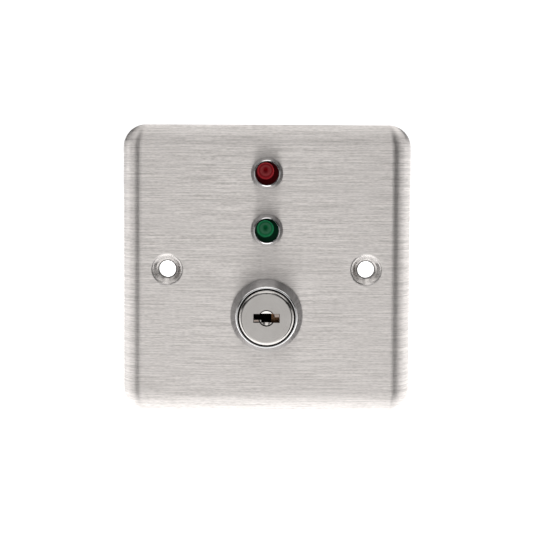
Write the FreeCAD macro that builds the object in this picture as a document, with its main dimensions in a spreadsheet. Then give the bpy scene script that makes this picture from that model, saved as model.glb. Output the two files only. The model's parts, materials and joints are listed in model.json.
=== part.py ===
import FreeCAD, Part
import Sketcher

import math
import os
from types import SimpleNamespace

from FreeCAD import Placement, Rotation, Vector

# Key-operated selector switch on a pressed single-gang wall plate, with two indicators above the lock.
#
# Frame: X to the right and Z up as the plate hangs, Y into the wall. Y = 0 is the wall plane, where the rim
# of the plate rests, so the polished front lies at negative Y. The origin is the centre of the plate.
# Turned pieces are drawn on the XY plane as (radius, depth) and revolved about the body's own Y axis.

# Driving dimensions, in millimetres and degrees. Each one becomes a named cell of the sheet "dims".
SIZES = {
    # pressed plate
    "plate_side": 88.0,
    "plate_corner": 7.3,
    "plate_height": 4.5,
    "plate_roll": 6.8,
    "sheet_gauge": 1.2,
    "screw_spacing": 60.3,
    "screw_hole_rad": 2.5,
    "dimple_rad": 5.0,
    "dimple_depth": 1.7,
    # places of the parts on the plate, measured up from its centre
    "red_z": 29.1,
    "green_z": 12.0,
    "lock_z": -13.8,
    # panel indicators
    "bezel_rad": 4.85,
    "bezel_height": 3.6,
    "bezel_rim_rad": 3.95,
    "opening_rad": 3.58,
    "tube_rad": 4.0,
    "tube_bore": 3.0,
    "tube_end": 15.0,
    "tube_pitch": 0.75,
    "dome_rad": 2.55,
    "dome_height": 1.3,
    "dome_left": 0.45,
    "dome_up": 0.62,
    "led_rad": 1.5,
    "leg_pitch": 2.54,
    "leg_side": 0.5,
    "lug_width": 2.0,
    "lug_end": 22.0,
    "tube_nut_flats": 11.0,
    "tube_nut_thick": 2.5,
    "tube_washer_thick": 0.6,
    # lock barrel
    "flange_rad": 10.9,
    "flange_height": 4.8,
    "flange_rim_rad": 9.3,
    "barrel_rad": 9.5,
    "barrel_pitch": 1.0,
    "barrel_flat": 8.7,
    "barrel_end": 13.0,
    "head_bore": 8.6,
    "plug_bore": 6.26,
    "channel_reach": 7.3,
    "channel_width": 6.2,
    "lock_nut_flats": 24.0,
    "lock_nut_thick": 3.0,
    "lock_washer_thick": 0.8,
    # plug, wafers and keyway
    "head_rad": 8.25,
    "head_thick": 2.35,
    "head_proud": 1.0,
    "plug_rad": 6.2,
    "plug_end": 8.85,
    "journal_rad": 4.0,
    "key_width": 7.8,
    "key_height": 2.64,
    "key_shelf_left": 0.7,
    "key_shelf_right": 1.1,
    "key_recess_rad": 2.45,
    "keyway_end": 8.0,
    "wafer_thick": 1.0,
    "wafer_width": 5.6,
    "wafer_step": 2.4,
    "wafer_first": -5.5,
    "wafer_rad": 6.15,
    "wafer_travel": 0.8,
    "tang_side": 4.6,
    "tang_end": 17.6,
    # electrical switch behind the lock
    "case_rad": 11.0,
    "case_bore": 8.0,
    "case_front": 13.1,
    "case_floor": 14.7,
    "case_end": 23.0,
    "base_thick": 2.6,
    "rotor_rad": 7.7,
    "rotor_thick": 4.5,
    "ball_rad": 1.0,
    "ball_circle": 5.4,
    "ball_travel": 0.6,
    "stop_circle": 6.4,
    "stop_rad": 0.75,
    "turn_angle": 90.0,
    "contact_circle": 5.5,
    "tag_width": 2.8,
    "tag_gauge": 0.5,
    "tag_end": 32.5,
    "fixing_circle": 9.35,
    # running gap between pieces that move past each other
    "running_gap": 0.1,
}

WAFERS = 5
# Depth of the key's cut at each wafer, in steps of a fifth of a millimetre.
KEY_CUTS = (0, 3, 1, 4, 2)
CUT_STEP = 0.2
OUT_FOLDER = "parts"


class Size:
    """A number with its spreadsheet expression, so that what is made from it stays bound to the sheet."""

    def __init__(self, value, text):
        self.value = float(value)
        self.text = text

    def __add__(self, other):
        other = sized(other)
        return Size(self.value + other.value, f"({self.text} + {other.text})")

    def __radd__(self, other):
        return sized(other) + self

    def __sub__(self, other):
        other = sized(other)
        return Size(self.value - other.value, f"({self.text} - {other.text})")

    def __rsub__(self, other):
        return sized(other) - self

    def __mul__(self, other):
        other = sized(other)
        return Size(self.value * other.value, f"({self.text} * {other.text})")

    __rmul__ = __mul__

    def __truediv__(self, other):
        other = sized(other)
        return Size(self.value / other.value, f"({self.text} / {other.text})")

    def __neg__(self):
        return Size(-self.value, f"(0 - {self.text})")

    def bound(self):
        return "dims." in self.text


def sized(number):
    if isinstance(number, Size):
        return number
    return Size(number, f"({float(number):.9g})")


def root(number):
    number = sized(number)
    return Size(math.sqrt(number.value), f"sqrt({number.text})")


def make_sheet(doc):
    """Writes the driving dimensions into a spreadsheet and returns them as bound sizes."""
    sheet = doc.addObject("Spreadsheet::Sheet", "dims")
    for row, (alias, value) in enumerate(SIZES.items(), start=1):
        sheet.set(f"A{row}", alias)
        sheet.set(f"B{row}", str(value))
        sheet.setAlias(f"B{row}", alias)
    doc.recompute()
    return SimpleNamespace(**{alias: Size(value, f"dims.{alias}") for alias, value in SIZES.items()})


# ---------------------------------------------------------------- drawing helpers


def bind(thing, path, size):
    """Sets a property to a size and, if the size comes from the sheet, keeps it bound."""
    if size.bound():
        thing.setExpression(path, size.text)


def new_body(doc, label, z=None):
    """An empty body whose own Y axis lies at height z."""
    body = doc.addObject("PartDesign::Body", label)
    body.Label = label
    if z is not None:
        body.Placement = Placement(Vector(0, 0, z.value), Rotation())
        bind(body, "Placement.Base.z", z)
    return body


def origin_feature(body, role):
    return next(f for f in body.Origin.OriginFeatures if f.Role == role)


def new_sketch(body, name, role, depth=None):
    """A sketch on an origin plane. One on the XZ plane is moved back to the given depth along Y."""
    sketch = body.newObject("Sketcher::SketchObject", name)
    sketch.AttachmentSupport = [(origin_feature(body, role), "")]
    sketch.MapMode = "FlatFace"
    if depth is not None:
        forward = -sized(depth)
        sketch.AttachmentOffset = Placement(Vector(0, 0, forward.value), Rotation())
        bind(sketch, "AttachmentOffset.Base.z", forward)
    return sketch


def arc_between(start, end, bend):
    """The short arc from start to end with that radius, turning left if bend is positive."""
    radius = abs(bend)
    chord = end.sub(start)
    middle = start.add(end).multiply(0.5)
    rise = math.sqrt(max(0.0, radius**2 - (chord.Length / 2) ** 2))
    left = Vector(-chord.y, chord.x, 0).normalize()
    centre = middle.add(left.multiply(rise if bend > 0 else -rise))
    first, last = (start, end) if bend > 0 else (end, start)
    begin = math.atan2(first.y - centre.y, first.x - centre.x)
    finish = math.atan2(last.y - centre.y, last.x - centre.x)
    return Part.ArcOfCircle(Part.Circle(centre, Vector(0, 0, 1), radius), begin, finish)


def constrain(sketch, kind, *where, size):
    index = sketch.addConstraint(Sketcher.Constraint(kind, *where, size.value))
    bind(sketch, f"Constraints[{index}]", size)


def draw_outline(sketch, corners):
    """Draws a closed outline of (x, y) corners. An arc leads on from a corner given as (x, y, bend)."""
    corners = [tuple(sized(value) for value in corner) for corner in corners]
    points = [Vector(c[0].value, c[1].value, 0) for c in corners]
    first = len(sketch.Geometry)
    ends = []
    for index, corner in enumerate(corners):
        start, end = points[index], points[(index + 1) % len(points)]
        if len(corner) == 3:
            sketch.addGeometry(arc_between(start, end, corner[2].value), False)
            ends.append((1, 2) if corner[2].value > 0 else (2, 1))
        else:
            sketch.addGeometry(Part.LineSegment(start, end), False)
            ends.append((1, 2))
    for index, corner in enumerate(corners):
        edge, following = first + index, (index + 1) % len(corners)
        sketch.addConstraint(
            Sketcher.Constraint("Coincident", edge, ends[index][1], first + following, ends[following][0])
        )
        constrain(sketch, "DistanceX", -1, 1, edge, ends[index][0], size=corner[0])
        constrain(sketch, "DistanceY", -1, 1, edge, ends[index][0], size=corner[1])
        if len(corner) == 3:
            radius = corner[2] if corner[2].value > 0 else -corner[2]
            constrain(sketch, "Radius", edge, size=radius)


def draw_circle(sketch, x, z, radius):
    x, z, radius = sized(x), sized(z), sized(radius)
    circle = Part.Circle(Vector(x.value, z.value, 0), Vector(0, 0, 1), radius.value)
    index = sketch.addGeometry(circle, False)
    constrain(sketch, "DistanceX", -1, 1, index, 3, size=x)
    constrain(sketch, "DistanceY", -1, 1, index, 3, size=z)
    constrain(sketch, "Radius", index, size=radius)


def turned(body, name, corners, cut=False):
    """Revolves a (radius, depth) outline about the body's Y axis, adding or cutting."""
    sketch = new_sketch(body, name + "_profile", "XY_Plane")
    draw_outline(sketch, corners)
    feature = body.newObject("PartDesign::Groove" if cut else "PartDesign::Revolution", name)
    feature.Profile = sketch
    feature.ReferenceAxis = (sketch, ["V_Axis"])
    feature.Angle = 360
    return feature


def turned_at(body, name, x, z, corners, cut=False):
    """Revolves a (radius, depth) outline about the line along Y at that x and z, adding or cutting."""
    x, z = sized(x), sized(z)
    sketch = new_sketch(body, name + "_profile", "XY_Plane")
    sketch.AttachmentOffset = Placement(Vector(0, 0, z.value), Rotation())
    bind(sketch, "AttachmentOffset.Base.z", z)
    draw_outline(sketch, [(x + c[0], *c[1:]) for c in corners])
    axis = sketch.addGeometry(Part.LineSegment(Vector(x.value, -1, 0), Vector(x.value, 1, 0)), True)
    for end in (1, 2):
        constrain(sketch, "DistanceX", -1, 1, axis, end, size=x)
        constrain(sketch, "DistanceY", -1, 1, axis, end, size=sized(2 * end - 3))
    feature = body.newObject("PartDesign::Groove" if cut else "PartDesign::Revolution", name)
    feature.Profile = sketch
    feature.ReferenceAxis = (sketch, ["Axis0"])
    feature.Angle = 360
    return feature


def prism_of(body, name, sketch, front, back, cut):
    """Pads or pockets a sketch that lies at depth front, as far as depth back."""
    feature = body.newObject("PartDesign::Pocket" if cut else "PartDesign::Pad", name)
    feature.Profile = sketch
    length = sized(back) - sized(front)
    feature.Length = length.value
    bind(feature, "Length", length)
    feature.Reversed = not cut
    return feature


def prism(body, name, corners, front, back, cut=False):
    """Extrudes an (x, z) outline from depth front to depth back."""
    sketch = new_sketch(body, name + "_outline", "XZ_Plane", front)
    draw_outline(sketch, corners)
    return prism_of(body, name, sketch, front, back, cut)


def rods(body, name, places, radius, front, back, cut=False):
    """Extrudes a circle at each (x, z) place from depth front to depth back."""
    sketch = new_sketch(body, name + "_circles", "XZ_Plane", front)
    for x, z in places:
        draw_circle(sketch, x, z, radius)
    return prism_of(body, name, sketch, front, back, cut)


def slab(body, name, corners, low, high, cut=False):
    """Extrudes an (x, y) outline from height low to height high."""
    sketch = body.newObject("Sketcher::SketchObject", name + "_outline")
    sketch.AttachmentSupport = [(origin_feature(body, "XY_Plane"), "")]
    sketch.MapMode = "FlatFace"
    low, high = sized(low), sized(high)
    sketch.AttachmentOffset = Placement(Vector(0, 0, low.value), Rotation())
    bind(sketch, "AttachmentOffset.Base.z", low)
    draw_outline(sketch, corners)
    feature = body.newObject("PartDesign::Pocket" if cut else "PartDesign::Pad", name)
    feature.Profile = sketch
    feature.Length = (high - low).value
    bind(feature, "Length", high - low)
    feature.Reversed = cut
    return feature


def mirrored(body, feature, role="YZ_Plane"):
    """A mirror copy of a feature across an origin plane, as the body's tip."""
    mirror = body.newObject("PartDesign::Mirrored", feature.Name + "_mirror")
    mirror.Originals = [feature]
    mirror.MirrorPlane = (origin_feature(body, role), [""])
    body.Tip = mirror
    return mirror


def around(body, feature, count):
    """Repeats a feature evenly about the body's Y axis, as the body's tip."""
    pattern = body.newObject("PartDesign::PolarPattern", feature.Name + "_round")
    pattern.Originals = [feature]
    pattern.Axis = (origin_feature(body, "Y_Axis"), [""])
    pattern.Angle = 360
    pattern.Occurrences = count
    body.Tip = pattern
    return pattern


def box_corners(x_low, x_high, z_low, z_high):
    return [(x_low, z_low), (x_high, z_low), (x_high, z_high), (x_low, z_high)]


def rounded_box(half_x, half_z, corner):
    """Corners of a rounded rectangle centred on the origin."""
    x_in, z_in = half_x - corner, half_z - corner
    return [
        (-x_in, -half_z),
        (x_in, -half_z, corner),
        (half_x, -z_in),
        (half_x, z_in, corner),
        (x_in, half_z),
        (-x_in, half_z, corner),
        (-half_x, z_in),
        (-half_x, -z_in, corner),
    ]


def hexagon(across_flats):
    reach = across_flats / math.sqrt(3)
    angles = [math.radians(60 * step) for step in range(6)]
    return [(reach * math.cos(a), reach * math.sin(a)) for a in angles]


def thread_teeth(crest, root_rad, front, back, pitch):
    """Corners of a row of thread teeth, as rings, from depth front to depth back."""
    count = int(round((back.value - front.value) / pitch.value))
    corners = []
    for tooth in range(count):
        start = front + pitch * tooth
        corners.append((crest, start + pitch * 0.25))
        corners.append((root_rad, start + pitch * 0.75))
    return corners


def edges_at_depth(shape, depth, tolerance=1e-4):
    """Names of the edges that lie wholly at one depth along Y."""
    names = []
    for index, edge in enumerate(shape.Edges, start=1):
        box = edge.BoundBox
        if abs(box.YMin - depth) < tolerance and abs(box.YMax - depth) < tolerance:
            names.append(f"Edge{index}")
    return names


def face_at_depth(shape, depth, tolerance=1e-4):
    """Name of the flat face that lies wholly at one depth along Y."""
    for index, face in enumerate(shape.Faces, start=1):
        box = face.BoundBox
        if abs(box.YMin - depth) < tolerance and abs(box.YMax - depth) < tolerance:
            return f"Face{index}"
    raise ValueError(f"no face at depth {depth}")


def helix_spring(doc, label, radius, wire_rad, length, turns, placement):
    """A round-wire compression spring of that length along the placement's Z axis."""
    rise = length - 2 * wire_rad
    steps_per_turn = 24
    steps = round(turns * steps_per_turn)
    points = []
    for step in range(steps + 1):
        angle = 2 * math.pi * step / steps_per_turn
        points.append(Vector(radius * math.cos(angle), radius * math.sin(angle), rise * step / steps))
    coil = Part.BSplineCurve()
    coil.interpolate(points)
    circle = Part.Wire(Part.makeCircle(wire_rad, Vector(radius, 0, 0), Vector(0, 1, 0)))
    spring = doc.addObject("Part::Feature", label)
    spring.Label = label
    spring.Shape = Part.Wire(coil.toShape()).makePipeShell([circle], True, True)
    spring.Placement = placement * Placement(Vector(0, 0, wire_rad), Rotation())
    return spring


# ---------------------------------------------------------------- the plate


def make_face_plate(doc, d):
    """Pressed sheet with a rolled edge, two dimpled screw holes and holes for the lock and indicators."""
    body = new_body(doc, "face_plate")
    face = -d.plate_height
    # The roll ends before it is square to the wall, so the block that is rolled starts slightly larger.
    overrun = d.plate_roll - d.plate_height
    slack = d.plate_roll - root(d.plate_roll * d.plate_roll - overrun * overrun)
    half = d.plate_side / 2 + slack
    blank_back = overrun + 1
    blank = prism(body, "blank", rounded_box(half, half, d.plate_corner), face, blank_back)
    doc.recompute()
    roll = body.newObject("PartDesign::Fillet", "rolled_edge")
    roll.Base = (blank, edges_at_depth(blank.Shape, face.value))
    roll.Radius = d.plate_roll.value
    bind(roll, "Radius", d.plate_roll)
    doc.recompute()
    shell = body.newObject("PartDesign::Thickness", "sheet")
    shell.Base = (roll, [face_at_depth(roll.Shape, blank_back.value)])
    shell.Value = d.sheet_gauge.value
    bind(shell, "Value", d.sheet_gauge)
    shell.Reversed = True
    shell.Join = 0
    doc.recompute()
    beyond = d.plate_side
    prism(body, "trimmed_rim", box_corners(-beyond, beyond, -beyond, beyond), 0, blank_back + 1, cut=True)

    # Screw dimples: the sheet is pressed back around each hole, then countersunk.
    x = d.screw_spacing / 2
    back = face + d.sheet_gauge
    dimple_back = face + d.dimple_depth + d.sheet_gauge - 0.1
    boss = turned_at(
        body,
        "dimple_boss",
        x,
        0,
        [
            (0, back - 0.3),
            (d.dimple_rad + 0.25, back - 0.3),
            (d.dimple_rad + 0.25, back),
            (d.screw_hole_rad + 1.05, dimple_back),
            (0, dimple_back),
        ],
    )
    mirrored(body, boss)
    lip = 1.2
    slope = math.sqrt(0.5)
    lip_x, lip_y = lip * slope, lip * (1 - slope)
    step_rad = d.screw_hole_rad + 0.85
    dish = turned_at(
        body,
        "dimple_dish",
        x,
        0,
        [
            (0, face - 1),
            (d.dimple_rad, face - 1),
            (d.dimple_rad, face, -lip),
            (d.dimple_rad - lip_x, face + lip_y),
            (step_rad, face + lip_y + (d.dimple_rad - lip_x - step_rad)),
            (d.screw_hole_rad + 0.15, face + d.dimple_depth),
            (d.screw_hole_rad, face + d.dimple_depth),
            (d.screw_hole_rad, 1),
            (0, 1),
        ],
        cut=True,
    )
    mirrored(body, dish)

    hole_gap = 0.05
    places = [(0, d.red_z), (0, d.green_z)]
    rods(body, "indicator_holes", places, d.tube_rad + hole_gap, face - 1, 0, cut=True)
    reach = d.barrel_rad + hole_gap
    flat = d.barrel_flat + hole_gap
    rise = root(reach * reach - flat * flat)
    prism(
        body,
        "lock_hole",
        [
            (flat, d.lock_z - rise),
            (flat, d.lock_z + rise, reach),
            (-flat, d.lock_z + rise),
            (-flat, d.lock_z - rise, reach),
        ],
        face - 1,
        0,
        cut=True,
    )
    return body


# ---------------------------------------------------------------- panel indicators


def make_indicator(doc, d, colour, z):
    """One indicator: housing, lens, LED and its holder, resistor, end plug, lugs, washer and nut."""
    face = -d.plate_height
    back = face + d.sheet_gauge
    front = face - d.bezel_height
    shoulder = face - 0.4
    parts = []

    housing = new_body(doc, f"{colour}_indicator_housing", z)
    lip = 0.12
    rim_slope = 0.12
    thread_root = d.tube_rad - 0.4
    turned(
        housing,
        "shell",
        [
            (d.opening_rad, front + lip, lip),
            (d.opening_rad + lip, front),
            (d.bezel_rim_rad, front + rim_slope),
            (d.bezel_rad, face - 0.5),
            (d.bezel_rad, face),
            (d.tube_rad, face),
            *thread_teeth(d.tube_rad, thread_root, back, back + d.tube_pitch * 16, d.tube_pitch),
            (thread_root, d.tube_end),
            (d.tube_bore, d.tube_end),
            (d.tube_bore, shoulder),
            (d.opening_rad, shoulder),
        ],
    )
    parts.append(housing)

    lens = new_body(doc, f"{colour}_lens", z)
    disc_rad = d.opening_rad - 0.06
    disc_front = front + 0.75
    dome_front = front - d.dome_height
    turned(
        lens,
        "disc",
        [
            (0, disc_front),
            (disc_rad - 0.15, disc_front),
            (disc_rad, disc_front + 0.15),
            (disc_rad, shoulder),
            (0, shoulder),
        ],
    )
    # The dome sits off the disc's centre. Rings are moulded on its front, round a small eye.
    shoulder_round = 0.5
    ring = 0.1
    rings = []
    for inner, outer in ((0.95, 1.45), (1.5, 2.05)):
        rings.append((inner, dome_front))
        rings.append((outer, dome_front + ring))
    turned_at(
        lens,
        "dome",
        -d.dome_left,
        d.dome_up,
        [
            (0, dome_front + 0.35),
            (0.45, dome_front + 0.35),
            (0.55, dome_front + ring),
            (0.85, dome_front + ring),
            *rings,
            (d.dome_rad - shoulder_round, dome_front, shoulder_round),
            (d.dome_rad, dome_front + shoulder_round),
            (d.dome_rad, disc_front + 0.2),
            (0, disc_front + 0.2),
        ],
    )
    pocket_rad = d.led_rad + 0.1
    turned(
        lens,
        "led_pocket",
        [
            (0, dome_front + 1.65, pocket_rad),
            (pocket_rad, dome_front + 1.65 + pocket_rad),
            (pocket_rad, shoulder + 0.5),
            (0, shoulder + 0.5),
        ],
        cut=True,
    )
    parts.append(lens)

    led = new_body(doc, f"{colour}_led", z)
    led_tip = dome_front + 1.75
    led_flange = face + 0.6
    led_back = led_flange + 1
    turned(
        led,
        "epoxy",
        [
            (0, led_tip, d.led_rad),
            (d.led_rad, led_tip + d.led_rad),
            (d.led_rad, led_flange),
            (d.led_rad + 0.4, led_flange),
            (d.led_rad + 0.4, led_back),
            (0, led_back),
        ],
    )
    parts.append(led)

    holder = new_body(doc, f"{colour}_led_holder", z)
    holder_rad = d.tube_bore - 0.02
    turned(
        holder,
        "bush",
        [
            (d.led_rad + 0.04, shoulder + 0.05),
            (holder_rad, shoulder + 0.05),
            (holder_rad, led_back + 2),
            (d.led_rad + 0.45, led_back + 2),
            (d.led_rad + 0.45, led_flange),
            (d.led_rad + 0.04, led_flange),
        ],
    )
    parts.append(holder)

    legs = new_body(doc, f"{colour}_led_legs", z)
    legs.AllowCompound = True
    leg_x = d.leg_pitch / 2
    half_leg = d.leg_side / 2
    resistor_front = led_back + 3.4
    lug_front = d.tube_end - 5
    for name, x, end in (("anode", leg_x, resistor_front), ("cathode", -leg_x, lug_front)):
        section = box_corners(x - half_leg, x + half_leg, -half_leg, half_leg)
        prism(legs, name, section, led_back, end)
    parts.append(legs)

    resistor = new_body(doc, f"{colour}_resistor", z)
    resistor.Placement = Placement(Vector(leg_x.value, 0, z.value), Rotation())
    bind(resistor, "Placement.Base.x", leg_x)
    lead_rad = 0.25
    end_rad, waist_rad = 0.95, 0.8
    body_front, body_back = resistor_front + 1.2, lug_front - 1.2
    turned(
        resistor,
        "resistor",
        [
            (0, resistor_front),
            (lead_rad, resistor_front),
            (lead_rad, body_front),
            (end_rad - 0.2, body_front),
            (end_rad, body_front + 0.25),
            (end_rad, body_front + 1.1),
            (waist_rad, body_front + 1.4),
            (waist_rad, body_back - 1.4),
            (end_rad, body_back - 1.1),
            (end_rad, body_back - 0.25),
            (end_rad - 0.2, body_back),
            (lead_rad, body_back),
            (lead_rad, lug_front),
            (0, lug_front),
        ],
    )
    parts.append(resistor)

    end_plug = new_body(doc, f"{colour}_end_plug", z)
    plug_lip = 1.2
    turned(
        end_plug,
        "stopper",
        [
            (0, d.tube_end - 3.5),
            (holder_rad - 0.3, d.tube_end - 3.5),
            (holder_rad, d.tube_end - 3.2),
            (holder_rad, d.tube_end),
            (d.tube_rad - 0.45, d.tube_end),
            (d.tube_rad - 0.45, d.tube_end + plug_lip - 0.3),
            (d.tube_rad - 0.75, d.tube_end + plug_lip),
            (0, d.tube_end + plug_lip),
        ],
    )
    half_lug = d.lug_width / 2
    slot = prism(
        end_plug,
        "lug_slot",
        box_corners(leg_x - half_leg - 0.01, leg_x + half_leg + 0.01, -half_lug - 0.01, half_lug + 0.01),
        d.tube_end - 4,
        d.tube_end + plug_lip + 1,
        cut=True,
    )
    mirrored(end_plug, slot)
    parts.append(end_plug)

    lugs = new_body(doc, f"{colour}_solder_lugs", z)
    lugs.AllowCompound = True
    nose = 0.5
    eye_rad = 0.5
    eye_depth = d.lug_end - 1.6
    for side, x in (("left", -leg_x), ("right", leg_x)):
        blade_sketch = new_sketch(lugs, f"{side}_blade_outline", "YZ_Plane")
        blade_sketch.AttachmentOffset = Placement(Vector(0, 0, (x - half_leg).value), Rotation())
        bind(blade_sketch, "AttachmentOffset.Base.z", x - half_leg)
        draw_outline(
            blade_sketch,
            [
                (lug_front, -half_lug),
                (d.lug_end - nose, -half_lug),
                (d.lug_end, -half_lug + nose),
                (d.lug_end, half_lug - nose),
                (d.lug_end - nose, half_lug),
                (lug_front, half_lug),
            ],
        )
        draw_circle(blade_sketch, eye_depth, 0, eye_rad)
        blade = lugs.newObject("PartDesign::Pad", f"{side}_blade")
        blade.Profile = blade_sketch
        blade.Length = d.leg_side.value
        bind(blade, "Length", d.leg_side)
    parts.append(lugs)

    washer = new_body(doc, f"{colour}_lock_washer", z)
    washer_back = back + d.tube_washer_thick
    make_toothed_washer(washer, d.tube_rad + 0.1, d.tube_rad + 2.1, back, washer_back, teeth=12)
    parts.append(washer)

    nut = new_body(doc, f"{colour}_hex_nut", z)
    make_hex_nut(nut, d.tube_nut_flats, d.tube_rad + 0.02, washer_back, washer_back + d.tube_nut_thick)
    parts.append(nut)
    return parts


def make_toothed_washer(body, inner, outer, front, back, teeth):
    """A shakeproof washer: a flat ring with notches cut round its outer edge."""
    turned(body, "ring", [(inner, front), (outer, front), (outer, back), (inner, back)])
    pitch_angle = math.radians(360 / teeth)
    half_notch = outer * math.sin(pitch_angle / 4)
    notch_floor = outer - (outer - inner) * 0.45
    corners = box_corners(notch_floor, outer + 1, -half_notch, half_notch)
    notch = prism(body, "notch", corners, front - 0.5, back + 0.5, cut=True)
    around(body, notch, teeth)


def make_hex_nut(body, across_flats, bore, front, back):
    """A hexagon nut whose corners are turned off on both faces, with a chamfered bore."""
    prism(body, "hexagon", hexagon(across_flats), front, back)
    corner_rad = across_flats / math.sqrt(3)
    flat_rad = across_flats / 2
    drop = (corner_rad - flat_rad) * math.tan(math.radians(30))
    for name, face, inward in (("front_bevel", front, 1), ("back_bevel", back, -1)):
        turned(
            body,
            name,
            [
                (flat_rad, face),
                (flat_rad, face - 0.5 * inward),
                (corner_rad + 1, face - 0.5 * inward),
                (corner_rad + 1, face + (drop + math.tan(math.radians(30))) * inward),
            ],
            cut=True,
        )
    bevel = 0.3
    turned(
        body,
        "bore",
        [
            (0, front - 0.5),
            (bore + bevel, front - 0.5),
            (bore + bevel, front),
            (bore, front + bevel),
            (bore, back - bevel),
            (bore + bevel, back),
            (bore + bevel, back + 0.5),
            (0, back + 0.5),
        ],
        cut=True,
    )


# ---------------------------------------------------------------- the lock


def make_lock_barrel(doc, d):
    """Die-cast barrel: bevelled flange, thread with two flats, stepped bore and wafer channels."""
    body = new_body(doc, "lock_barrel", d.lock_z)
    face = -d.plate_height
    front = face - d.flange_height
    head_floor = front + d.head_thick
    bore_end = d.plug_end + d.running_gap
    web_end = bore_end + 2
    groove_front, groove_back = d.barrel_end - 3.4, d.barrel_end - 2.4
    rim = 0.45
    bore_edge = 0.08
    thread_front = face + d.sheet_gauge
    thread_root = d.barrel_rad - 0.55
    turned(
        body,
        "casting",
        [
            (d.head_bore, front + bore_edge),
            (d.head_bore + bore_edge, front),
            (d.flange_rim_rad - rim, front, rim * 1.5),
            (d.flange_rim_rad, front + rim),
            (d.flange_rad, face - 0.7),
            (d.flange_rad, face),
            (d.barrel_rad, face),
            *thread_teeth(d.barrel_rad, thread_root, thread_front, thread_front + 12, d.barrel_pitch),
            (thread_root, groove_front - 0.3),
            (d.barrel_rad - 0.7, groove_front),
            (d.barrel_rad - 0.7, groove_back),
            (d.barrel_rad - 0.1, groove_back),
            (d.barrel_rad - 0.1, d.barrel_end - 0.4),
            (d.barrel_rad - 0.5, d.barrel_end),
            (d.plug_bore + 1.1, d.barrel_end),
            (d.plug_bore + 1.1, web_end),
            (d.journal_rad + 0.06, web_end),
            (d.journal_rad + 0.06, bore_end),
            (d.plug_bore, bore_end),
            (d.plug_bore, head_floor),
            (d.head_bore, head_floor),
        ],
    )
    flat = prism(
        body,
        "side_flat",
        box_corners(d.barrel_flat, d.barrel_rad + 1, -d.barrel_rad, d.barrel_rad),
        face,
        groove_front - 0.3,
        cut=True,
    )
    mirrored(body, flat)
    half_channel = d.channel_width / 2
    channel = prism(
        body,
        "wafer_channel",
        box_corners(0, d.channel_reach, -half_channel, half_channel),
        head_floor,
        d.keyway_end,
        cut=True,
    )
    around(body, channel, 4)
    return body


def wafer_depth(d, index):
    return d.wafer_first + d.wafer_step * index


def wafer_side(index):
    """Which way the spring drives this wafer: the first goes to the left, and they alternate."""
    return -1 if index % 2 == 0 else 1


def turned_about(corners, side):
    """Turns (x, z) corners half a turn about the Y axis if side is -1."""
    return [(side * c[0], side * c[1], *c[2:]) for c in corners]


def keyway_corners(d):
    """The keyway's section. Its left wing lies high and its right wing low, so a key fits one way up."""
    half_width, half_height = d.key_width / 2, d.key_height / 2
    left_floor = d.key_shelf_left - half_height
    right_ceiling = half_height - d.key_shelf_right
    core_left, core_right = 1.6, 2.1
    return [
        (-half_width, left_floor),
        (-core_left, left_floor),
        (-core_left, -half_height),
        (half_width, -half_height),
        (half_width, right_ceiling),
        (core_right, right_ceiling),
        (core_right, half_height),
        (-half_width, half_height),
    ]


def make_lock_plug(doc, d):
    """The plug that the key turns: head, keyway, wafer slots, clip groove and square tang."""
    body = new_body(doc, "lock_plug", d.lock_z)
    face = -d.plate_height
    front = face - d.flange_height - d.head_proud
    head_back = face - d.flange_height - d.running_gap + d.head_thick
    clip_front = d.plug_end + d.running_gap + 2.1
    clip_back = clip_front + 0.8
    edge = 1.1
    turned(
        body,
        "blank",
        [
            (0, front),
            (d.head_rad - edge, front, edge),
            (d.head_rad, front + edge),
            (d.head_rad, head_back),
            (d.plug_rad, head_back),
            (d.plug_rad, d.plug_end),
            (d.journal_rad, d.plug_end),
            (d.journal_rad, clip_front),
            (d.journal_rad - 0.7, clip_front),
            (d.journal_rad - 0.7, clip_back),
            (d.journal_rad, clip_back),
            (d.journal_rad, d.barrel_end),
            (0, d.barrel_end),
        ],
    )
    half_tang = d.tang_side / 2
    tang = box_corners(-half_tang, half_tang, -half_tang, half_tang)
    prism(body, "tang", tang, d.barrel_end, d.tang_end)
    ahead = front - 1
    half_width, half_height = d.key_width / 2, d.key_height / 2
    slot = box_corners(-half_width, half_width, -half_height, half_height)
    prism(body, "keyway_mouth", slot, ahead, front + 0.8, cut=True)
    # A round recess with a dished floor, and a narrow groove between the dish and the recess wall.
    dish_rad = d.key_recess_rad - 0.3
    dish_front, dish_sink = front + 0.35, 0.8
    turned(
        body,
        "centre_recess",
        [
            (0, ahead),
            (d.key_recess_rad, ahead),
            (d.key_recess_rad, front + 0.9),
            (dish_rad, front + 0.9),
            (dish_rad, dish_front, (dish_rad * dish_rad + dish_sink**2) / (2 * dish_sink)),
            (0, dish_front + dish_sink),
        ],
        cut=True,
    )
    prism(body, "keyway", keyway_corners(d), ahead, d.keyway_end - 1, cut=True)
    slot_gap = 0.05
    half_slot = d.wafer_width / 2 + slot_gap
    half_gauge = d.wafer_thick / 2 + slot_gap
    beyond = d.plug_rad + 1
    pocket_reach = 2.8
    pocket_top = half_slot + 1.2
    for index in range(WAFERS):
        depth = wafer_depth(d, index)
        corners = [
            (-beyond, -half_slot),
            (beyond, -half_slot),
            (beyond, half_slot),
            (pocket_reach, half_slot),
            (pocket_reach, pocket_top),
            (-pocket_reach, pocket_top),
            (-pocket_reach, half_slot),
            (-beyond, half_slot),
        ]
        corners = turned_about(corners, wafer_side(index))
        name = f"wafer_slot_{index + 1}"
        prism(body, name, corners, depth - half_gauge, depth + half_gauge, cut=True)
    return body


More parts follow.
